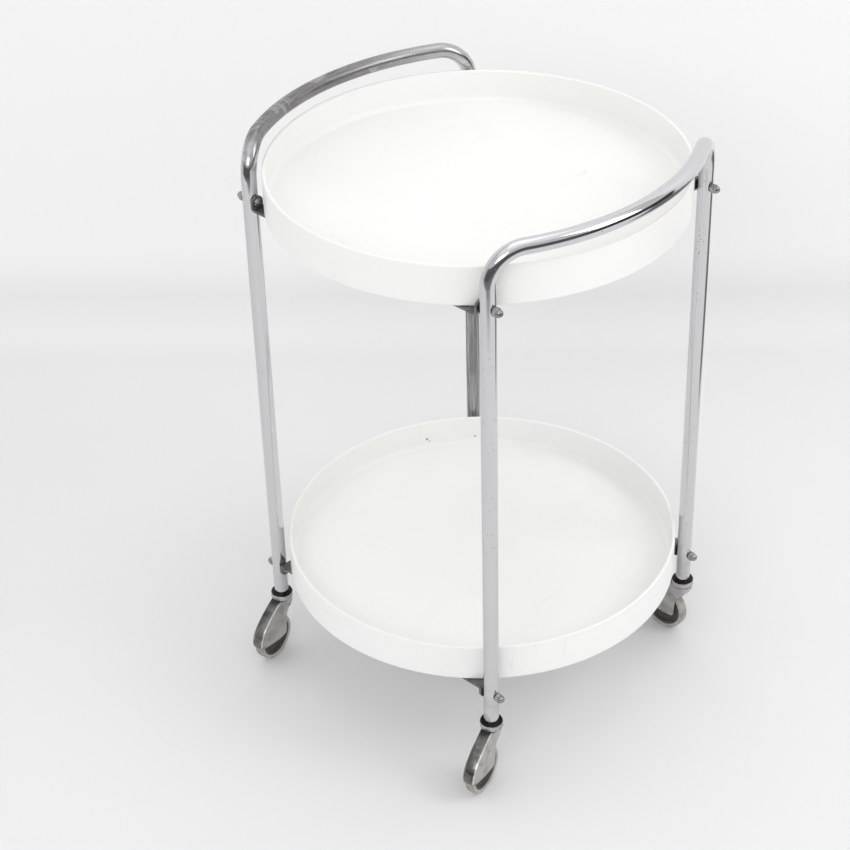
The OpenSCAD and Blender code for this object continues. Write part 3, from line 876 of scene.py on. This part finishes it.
screw = mesh("screw", screw_head(r=SCREW_R, h=2.4, shank_r=1.98, length=7.9, n=40))
screw = as_part(cut(screw, [block(-2.3, 2.3, -0.45, 0.45, -3, -1.0),
                            block(-0.45, 0.45, -2.3, 2.3, -3, -1.01)], "screw_cut"))
for level, z in (("upper", UPPER_Z), ("lower", LOWER_Z)):
    part = joined(*[moved(screw, Matrix.Translation((sx * LEG, sy * SCREW_Y, z - STRIP_T))
                          @ Matrix.Rotation(sx * 0.7 + sy * 0.4, 4, "Z"))
                    for sx in (-1, 1) for sy in (-1, 1)])
    node = level + "_tray_screws"
    piece("screws_" + level, mesh(node, part, 30), ZINC, "trolley", node)


# ---- castor hood ----

# side outlines of the hood at matching stations from the collar down, as (along the
# trail, height) with the axle at height 30: ridge, back and front edge
RIDGE = [(10.3, 79.3), (17.0, 76.2), (25.4, 71.0), (33.2, 65.6), (40.0, 60.4), (45.6, 55.6),
         (49.9, 50.9), (53.1, 45.9), (55.1, 41.0), (55.8, 36.9), (55.8, 33.9), (55.5, 32.2)]
BACK = [(12.6, 79.3), (18.8, 76.9), (26.8, 72.2), (34.3, 67.0), (41.0, 61.6), (46.8, 56.7),
        (51.3, 51.8), (54.6, 46.5), (56.3, 41.4), (57.1, 37.0), (57.2, 33.7), (56.9, 31.7)]
FRONT = [(-12.4, 79.3), (-11.2, 74.4), (-8.8, 69.4), (-5.6, 64.4), (-0.8, 59.6), (3.2, 53.6),
         (4.9, 44.5), (6.0, 31.2), (8.8, 25.8), (22.4, 25.0), (38.0, 27.8), (51.4, 30.3)]
OUTLINE_AXLE_Z = 30.0
TOP_R = 12.6
HOOD_ROWS = 56
NOSE, STRIP_COLUMNS = 7, 11  # columns across the front and across the back
# places across a side, from the front edge to the ridge
SIDE_STEPS = [0.0, 0.025, 0.07] + list(np.linspace(0.13, 0.93, 10)) + [0.965, 0.987]
NOSE_END = 3.15  # the front is closed above this station


def follow(points):
    """A smooth curve through the stations, one point per hood row."""
    knots = np.array(points, float)
    knots = np.vstack([2 * knots[0] - knots[1], knots, 2 * knots[-1] - knots[-2]])
    curve = []
    for q in np.linspace(0, len(points) - 1, HOOD_ROWS):
        i = min(int(q), len(points) - 2)
        t = q - i
        k0, k1, k2, k3 = knots[i:i + 4]
        curve.append(0.5 * (2 * k1 + (k2 - k0) * t + (2 * k0 - 5 * k1 + 4 * k2 - k3) * t ** 2
                            + (3 * k1 - k0 - 3 * k2 + k3) * t ** 3))
    return curve


def station(i):
    """Row i as a place in the outline tables."""
    return (len(RIDGE) - 1) * i / (HOOD_ROWS - 1)


def top_width(u):
    """Half width of the round top at u along the trail."""
    limit = RIDGE[0][0] if u > 0 else -FRONT[0][0]
    return math.sqrt(TOP_R ** 2 - min(limit, abs(u)) ** 2)


def hood_loop(i, ridge, back, front):
    """Row i of the hood: left side, back strip, right side, nose. The top row is round."""
    q, s = station(i), i / (HOOD_ROWS - 1)
    into = min(1.0, q / 2.6)
    into = into * into * (3 - 2 * into)  # 0 at the round top, 1 on the flat-sided body

    def blend(top, body):
        return (1 - into) * top + into * body

    out = back - ridge
    ridge_w = blend(top_width(ridge[0]), 7.5 - 0.9 * max(0, s - 0.45) - 2.2 * max(0, s - 0.72))
    front_w = blend(top_width(front[0]), 8.7 - 1.4 * max(0, s - 0.8))
    crown = 0.75 * into * (1 - 0.4 * s)
    left = []
    for t in SIDE_STEPS:
        u, z = front + (ridge - front) * t
        lip = max(0.0, 1 - t / 0.14) * 0.6 * (1 if q > 3.2 else 0)
        flat = front_w + (ridge_w - front_w) * t ** 1.5 + crown * 4 * t * (1 - t) - lip
        left.append((u, blend(top_width(u), flat), z))
    corner = 0.12 + 0.23 * into
    left.append((ridge[0] + corner * out[0], ridge_w - 0.28, ridge[1] + corner * out[1]))
    right = [(u, -v, z) for u, v, z in left[::-1]]
    strip = []
    for k in range(1, STRIP_COLUMNS + 1):
        c = 2 * k / (STRIP_COLUMNS + 1) - 1
        start = RIDGE[0][0]
        arc = (math.sqrt(TOP_R ** 2 - (c * top_width(start)) ** 2) - start) / (TOP_R - start)
        lift = blend(arc, 0.45 + 0.55 * (1 - abs(c) ** 2.2))
        strip.append((ridge[0] + lift * out[0], -c * (ridge_w - 0.28 - 0.32 * into),
                      ridge[1] + lift * out[1]))
    nose = []
    for k in range(1, NOSE + 1):
        c = 2 * k / (NOSE + 1) - 1
        bulge = 1.6 * (1 - c * c)
        flat = (front[0] - bulge * 0.8, c * front_w, front[1] - bulge * 0.3)
        arc = (-math.sqrt(max(0, TOP_R ** 2 - (c * front_w) ** 2)), c * front_w, front[1])
        nose.append(tuple(blend(arc[j], flat[j]) for j in range(3)))
    plain = [0.0] * (len(left) - 2)
    mask = (plain + [0.38, 0.5] + [1.0] * len(strip) + [0.5, 0.38] + plain
            + [0.0] * len(nose))
    return left + strip + right + nose, mask


def hood_part():
    """Open hood skin and its back mask. Swivel axis at the origin, trail along +X."""
    verts, mask, loops = [], [], []
    for i, edges in enumerate(zip(follow(RIDGE), follow(BACK), follow(FRONT))):
        loop, marks = hood_loop(i, *edges)
        loops.append(list(range(len(verts), len(verts) + len(loop))))
        verts += loop
        mask += marks
    nose_start = len(loops[0]) - NOSE
    faces = []
    for i in range(HOOD_ROWS - 1):
        quads = bridge(loops[i], loops[i + 1])
        shut = station(i) < NOSE_END and station(i + 1) < NOSE_END
        faces += quads if shut else quads[:nose_start - 1]
    used = sorted({v for face in faces for v in face})
    new = {v: k for k, v in enumerate(used)}
    lift = AXLE_Z - OUTLINE_AXLE_Z
    verts = [(verts[v][0], verts[v][1], verts[v][2] + lift) for v in used]
    return (verts, [tuple(new[v] for v in face) for face in faces]), [mask[v] for v in used]


def shell(part, mask, thick):
    """Thickens the open hood inwards, with rounded rims, as one closed mesh."""
    me = raw_mesh("tmp_hood", part)
    bm = bmesh.new()
    bm.from_mesh(me)
    bmesh.ops.recalc_face_normals(bm, faces=bm.faces)
    bm.to_mesh(me)
    bm.free()
    me.update()
    me.attributes.new("back", "FLOAT", "POINT").data.foreach_set("value", mask)
    # an open skin may come out facing inwards
    middle = sum((p.center for p in me.polygons), Vector()) / len(me.polygons)
    if sum(1 if p.normal.dot(p.center - middle) > 0 else -1 for p in me.polygons) < 0:
        me.flip_normals()
    o = link("tmp_hood", me)
    solid = o.modifiers.new("s", "SOLIDIFY")
    solid.thickness, solid.offset, solid.thickness_clamp = thick * MM, -1.0, 0.0
    solid.use_even_offset, solid.use_rim = False, True
    bevel = o.modifiers.new("b", "BEVEL")
    bevel.width, bevel.segments = 0.0004, 3
    bevel.limit_method, bevel.angle_limit = "ANGLE", math.radians(60)
    out = evaluated(o)
    bpy.data.objects.remove(o)
    return out


def hood_mesh():
    """The hood with its turned collar on top."""
    outline = [  # r, z with the leg's foot at 88, corner radius
        (5.0, 74.5), (10.6, 74.5, 1.0), (11.2, 78.7), (13.2, 78.9, 0.5), (13.75, 80.0, 0.7),
        (13.75, 85.6, 0.6), (13.0, 86.1, 0.3), (12.95, 83.0), (5.0, 82.9)]
    part, mask = hood_part()
    skin = shell(part, mask, thick=1.2)
    collar = moved(lathe(fillet(outline, 5), 96), Matrix.Translation((0, 0, LEG_Z - 88)))
    bm = bmesh.new()
    bm.from_mesh(skin)
    # the material needs the mask even if the modifiers dropped it
    if bm.verts.layers.float.get("back") is None:
        bm.verts.layers.float.new("back")
    new = [bm.verts.new(tuple(c * MM for c in p)) for p in collar[0]]
    for face in collar[1]:
        bm.faces.new([new[i] for i in face])
    bm.normal_update()
    bmesh.ops.recalc_face_normals(bm, faces=bm.faces)
    me = bpy.data.meshes.new("hood")
    bm.to_mesh(me)
    bm.free()
    smooth(me, 42)
    return me


# ---- wheels, axles and sockets ----

RIM_R = AXLE_Z - 5.0  # where the tyre meets the core
HALF_W = 5.9
AXLE_HALF = 8.0
KEY = [(RIM_R, 1.6), (RIM_R - 1.6, 0), (RIM_R, -1.6)]  # tyre ridge let into the core


def core_mesh():
    half = [  # r, z, corner radius
        (3.05, HALF_W + 0.35, 0.3), (6.4, HALF_W + 0.35, 0.8), (7.0, 2.6, 1.2),
        (RIM_R - 11.2, 2.4, 0.8), (RIM_R - 10.8, 3.6, 0.5), (RIM_R - 9.0, 3.6, 0.5),
        (RIM_R - 8.4, 2.2, 0.8), (RIM_R - 3.6, 2.2, 1.0), (RIM_R - 3.0, HALF_W - 1.0, 0.5),
        (RIM_R, HALF_W - 1.0, 0.3)]
    outline = half + KEY + [(r, -z, corner) for r, z, corner in half[::-1]]
    return mesh("wheel_core", lathe(fillet(outline, 4), 96), 34)


def tyre_mesh():
    outline = [
        (RIM_R, -HALF_W + 0.2, 0.4), (RIM_R + 1.6, -HALF_W, 0.8), (RIM_R + 4.75, -HALF_W, 3.2),
        (RIM_R + 4.99, 0, 0), (RIM_R + 4.75, HALF_W, 3.2), (RIM_R + 1.6, HALF_W, 0.8),
        (RIM_R, HALF_W - 0.2, 0.4)] + KEY
    return mesh("tyre", lathe(fillet(outline, 7), 128), 34)


def axle_mesh():
    end = AXLE_HALF
    outline = [(0, -end + 0.5), (0.9, -end), (3.0, -end, 0.35), (3.0, end, 0.35), (0.9, end),
               (0, end - 0.5)]
    return mesh("axle", lathe(fillet(outline, 3, closed=False), 48), 30)


def socket_mesh():
    """Flange under the tube end and a sleeve up inside it."""
    sleeve_r, bottom, top = TUBE_R - TUBE_WALL - 0.03, FLANGE_Z + 0.05, LEG_Z + 30
    outline = [(5.05, bottom, 0.3), (12.85, bottom, 0.4), (12.75, LEG_Z, 0.9),
               (sleeve_r, LEG_Z + 0.02, 0.2), (sleeve_r, top, 0.8), (5.05, top, 0.6)]
    return mesh("socket", lathe(fillet(outline, 5), 96), 34)


hood, core, tyre = hood_mesh(), core_mesh(), tyre_mesh()
axle, socket = axle_mesh(), socket_mesh()
for name in CASTORS:
    p = Vector(JOINTS["swivel_" + name]["pos_m"])
    axis = Vector(JOINTS["roll_" + name]["axis"]).normalized()
    foot = Matrix.Translation((p.x, p.y, 0))
    place = foot @ Matrix.Rotation(math.atan2(-axis.x, axis.y), 4, "Z")
    wheel = (place @ Matrix.Translation((TRAIL * MM, 0, AXLE_Z * MM))
             @ Matrix.Rotation(-math.pi / 2, 4, "X"))
    for start, me, mat, body, node, slot, matrix in (
            ("socket_", socket, BLACK, "trolley", "castor_socket_", "black_socket", foot),
            ("hood_", hood, HOOD, "castor_" + name, "castor_hood_", "cast_hood", place),
            ("axle_pin_", axle, HOOD, "castor_" + name, "axle_", "zinc_screw", wheel),
            ("wheel_", core, CORE, "wheel_" + name, "wheel_core_", "dark_wheel", wheel),
            ("rubber_", tyre, TYRE, "wheel_" + name, "tyre_", "pale_tyre", wheel)):
        piece(start + name, me, mat, body, node + name, matrix)


# ---- camera (m, radians) ----

EYE = Vector((-1.5042, -1.4008, 1.7162))
YAW, PITCH, TILT = 0.7885, 0.5928, 0.029
RIGHT = Vector((math.cos(YAW), -math.sin(YAW), 0))  # level, to the camera's right
TOWARDS = Vector((-math.sin(YAW), -math.cos(YAW), 0))  # level, towards the camera


def add_camera():
    ahead = Vector((math.sin(YAW) * math.cos(PITCH), math.cos(YAW) * math.cos(PITCH),
                    -math.sin(PITCH)))
    down = ahead.cross(RIGHT)
    x = math.cos(TILT) * RIGHT + math.sin(TILT) * down
    y = -(-math.sin(TILT) * RIGHT + math.cos(TILT) * down)
    data = bpy.data.cameras.new("camera")
    data.sensor_width = 36
    data.lens = 87.207671
    data.clip_start, data.clip_end = 0.05, 50
    o = link("camera", data)
    o.matrix_world = Matrix(((x.x, y.x, -ahead.x, EYE.x), (x.y, y.y, -ahead.y, EYE.y),
                             (x.z, y.z, -ahead.z, EYE.z), (0, 0, 0, 1)))
    bpy.context.scene.camera = o


add_camera()


# ---- backdrop (m) ----

WALL_MID = Vector((0.4926262, 0.5841001, 0))  # middle of the wall's foot
WALL_TURN = -0.8283391  # heading of the wall from +X
SWEEP_R = 0.07


def backdrop_paper():
    m = Mat("backdrop")
    z = m.split()[2]
    tone = m.noise(1.6, detail=3, rough=0.5)
    fine = m.noise(60, detail=3, rough=0.5)
    color = m.mix(tone, (0.785, 0.785, 0.788), (0.810, 0.810, 0.812))
    color = m.mix(m.band(z, (0.03, 0.16)), color, (0.905, 0.905, 0.906))
    # the dim room past the paper's edge, seen only in reflections
    right = m.dot(m.place, tuple(RIGHT))
    near = m.dot(m.place, tuple(TOWARDS))
    off = m.times(m.band(right, (0.74, 0.90)), m.band(near, (0.20, 0.02)))
    off = m.most(off, m.band(near, (1.20, 1.45)))
    off = m.times(off, m.node("ShaderNodeLightPath").outputs["Is Glossy Ray"])
    color = m.mix(m.times(off, m.band(z, (0.05, 0.01))), color, (0.17, 0.17, 0.175))
    return m.done(color=color, rough=m.band(tone, (0.3, 0.7), to=(0.7, 0.9)), spec=0.12,
                  normal=m.bump(fine, strength=0.05, distance=0.0004))


def add_backdrop():
    """Pale floor that turns up into a wall behind the object."""
    along = Vector((math.cos(WALL_TURN), math.sin(WALL_TURN), 0))
    away = Vector((-along.y, along.x, 0))
    profile = [(-d, 0.0) for d in (3.2, 2.4, 1.6, 0.9, 0.5, 0.25, SWEEP_R)]
    profile += [(-SWEEP_R + SWEEP_R * math.sin(a), SWEEP_R - SWEEP_R * math.cos(a))
                for a in np.linspace(0.12, math.pi / 2, 14)]
    profile += [(0.0, z) for z in (0.15, 0.4, 1.0, 2.2)]
    columns = np.linspace(-3.4, 3.4, 25)
    verts, faces = [], []
    for d, z in profile:
        for x in columns:
            q = WALL_MID + along * x + away * d
            verts.append((q.x, q.y, z))
    m = len(columns)
    for i in range(len(profile) - 1):
        for j in range(m - 1):
            faces.append((i * m + j, i * m + j + 1, (i + 1) * m + j + 1, (i + 1) * m + j))
    me = bpy.data.meshes.new("backdrop")
    me.from_pydata(verts, [], faces)
    me.polygons.foreach_set("use_smooth", [True] * len(faces))
    me.update()
    me.materials.append(backdrop_paper())
    link("backdrop", me)


add_backdrop()


# ---- lights and world ----

def area(name, at, to, size, watts, color=(1, 1, 1)):
    light = bpy.data.lights.new(name, "AREA")
    light.shape, light.energy, light.color = "RECTANGLE", watts, color
    light.size, light.size_y = size
    o = link(name, light)
    o.location = at
    o.rotation_mode = "QUATERNION"
    o.rotation_quaternion = (Vector(to) - Vector(at)).to_track_quat("-Z", "Y")


def seen(right, towards, z):
    """A place by its distance to the camera's right, towards the camera, and up."""
    q = RIGHT * right + TOWARDS * towards
    return (q.x, q.y, z)


area("key", at=seen(right=2.2, towards=0.7, z=2.1), to=(0, 0, 0.35), size=(1.1, 1.5),
     watts=12, color=(1.0, 0.995, 0.985))
area("front", at=seen(right=-0.9, towards=2.7, z=2.3), to=(0, 0, 0.35), size=(1.6, 1.0),
     watts=15, color=(0.99, 0.995, 1.0))
area("top", at=(0.1, 0.1, 3.2), to=(0, 0, 0), size=(2.0, 2.0), watts=5)


def add_world():
    """Even light; reflections see a banded studio instead."""
    world = bpy.data.worlds.new("studio")
    bpy.context.scene.world = world
    world.use_nodes = True
    g = Graph(world.node_tree)
    out = g.node("ShaderNodeOutputWorld")
    background = g.node("ShaderNodeBackground")
    g.put(out.inputs[0], background.outputs[0])
    ray = g.node("ShaderNodeTexCoord").outputs["Generated"]
    up = g.dot(ray, (0, 0, 1))
    near = g.dot(ray, tuple(TOWARDS))
    right = g.dot(ray, tuple(RIGHT))
    # grey room, soft white ceiling
    mirror = g.fmix(g.band(up, (0.62, 0.82)), 0.62, 0.95)
    # dark low down behind the camera
    behind = g.times(g.band(near, (0.10, 0.45)), g.band(up, (0.30, 0.20)), clamp=True)
    mirror = g.fmix(behind, mirror, 0.10)
    # dim band high up beyond the object
    beyond = g.times(g.band(near, (-0.25, -0.50)), g.band(up, (0.34, 0.44)), clamp=True)
    beyond = g.times(beyond, g.band(up, (0.85, 0.72)), clamp=True)
    mirror = g.fmix(beyond, mirror, 0.22)
    # black low down on the right
    edge = g.times(g.band(right, (0.80, 0.90)), g.band(up, (0.26, 0.16)), clamp=True)
    mirror = g.fmix(edge, mirror, 0.05)
    path = g.node("ShaderNodeLightPath")
    level = g.fmix(path.outputs["Is Glossy Ray"], 0.80, mirror)
    color = g.node("ShaderNodeCombineColor", {0: level, 1: level, 2: g.plus(level, 0.006)})
    g.put(background.inputs[0], color.outputs[0])
    g.put(background.inputs[1], 1.0)


add_world()
view = bpy.context.scene.view_settings
view.view_transform = "Standard"
view.look = "None"
view.exposure = 0.17
view.gamma = 1.0

bpy.context.view_layer.update()
